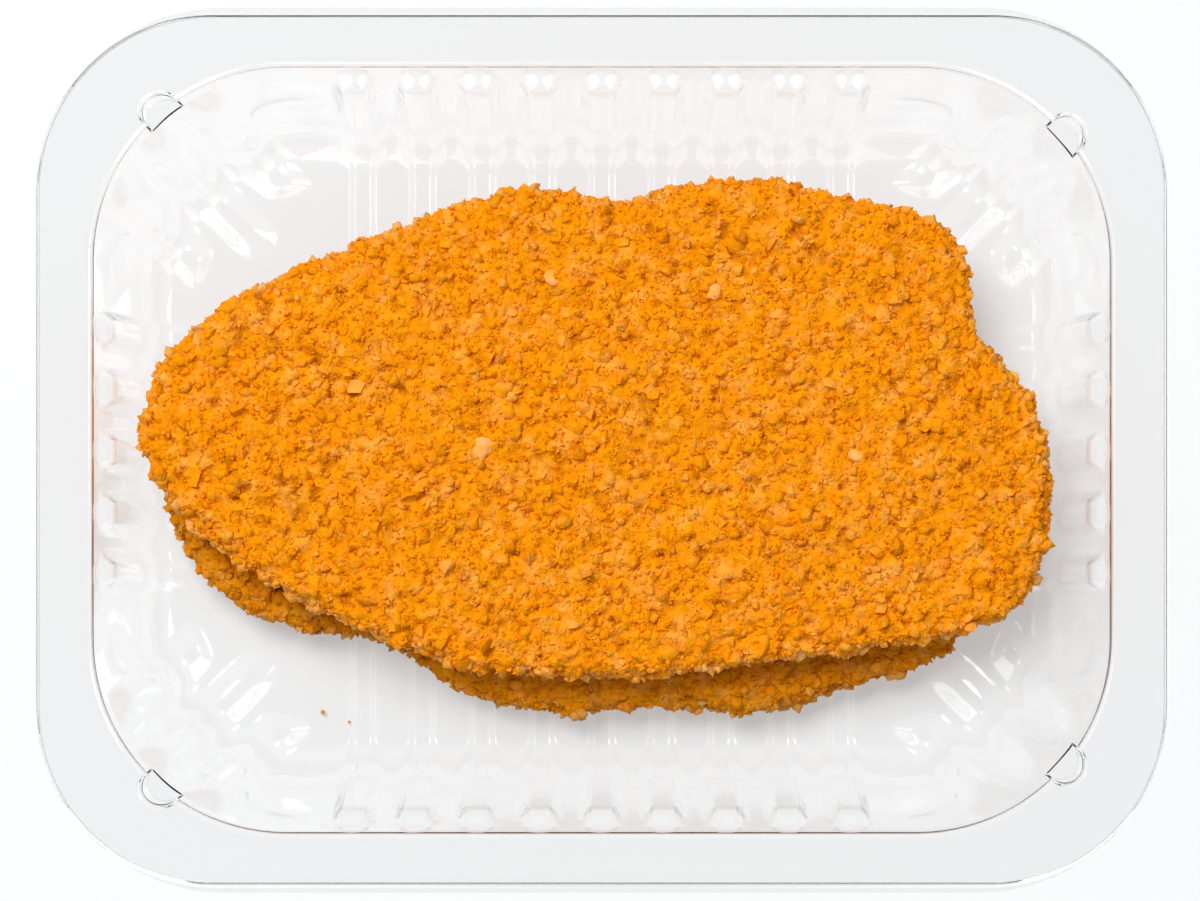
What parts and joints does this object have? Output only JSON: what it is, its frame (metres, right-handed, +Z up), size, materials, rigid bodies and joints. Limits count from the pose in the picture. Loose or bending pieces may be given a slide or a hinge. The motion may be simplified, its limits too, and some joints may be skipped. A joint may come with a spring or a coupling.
{
  "type": "schnitzel",
  "caption": "Breaded schnitzels stacked flat in an open clear plastic food tray with ribbed walls, rounded corners and a wide rim.",
  "frame": {"origin": "centre of the tray's underside, on the surface it stands on", "axes": "+X along the tray's length, +Y across it towards the back, +Z up out of the tray's mouth"},
  "size_m": [0.227, 0.1776, 0.04],
  "materials": {
    "clear_plastic": "clear, smooth and glossy",
    "crumb_coat_lower": "rough orange breadcrumbs",
    "crumb_coat_upper": "rough orange breadcrumbs"
  },
  "bodies": {
    "root": {"tray": "clear_plastic", "schnitzel_lower": "crumb_coat_lower", "schnitzel_upper": "crumb_coat_upper"}
  },
  "joints": []
}
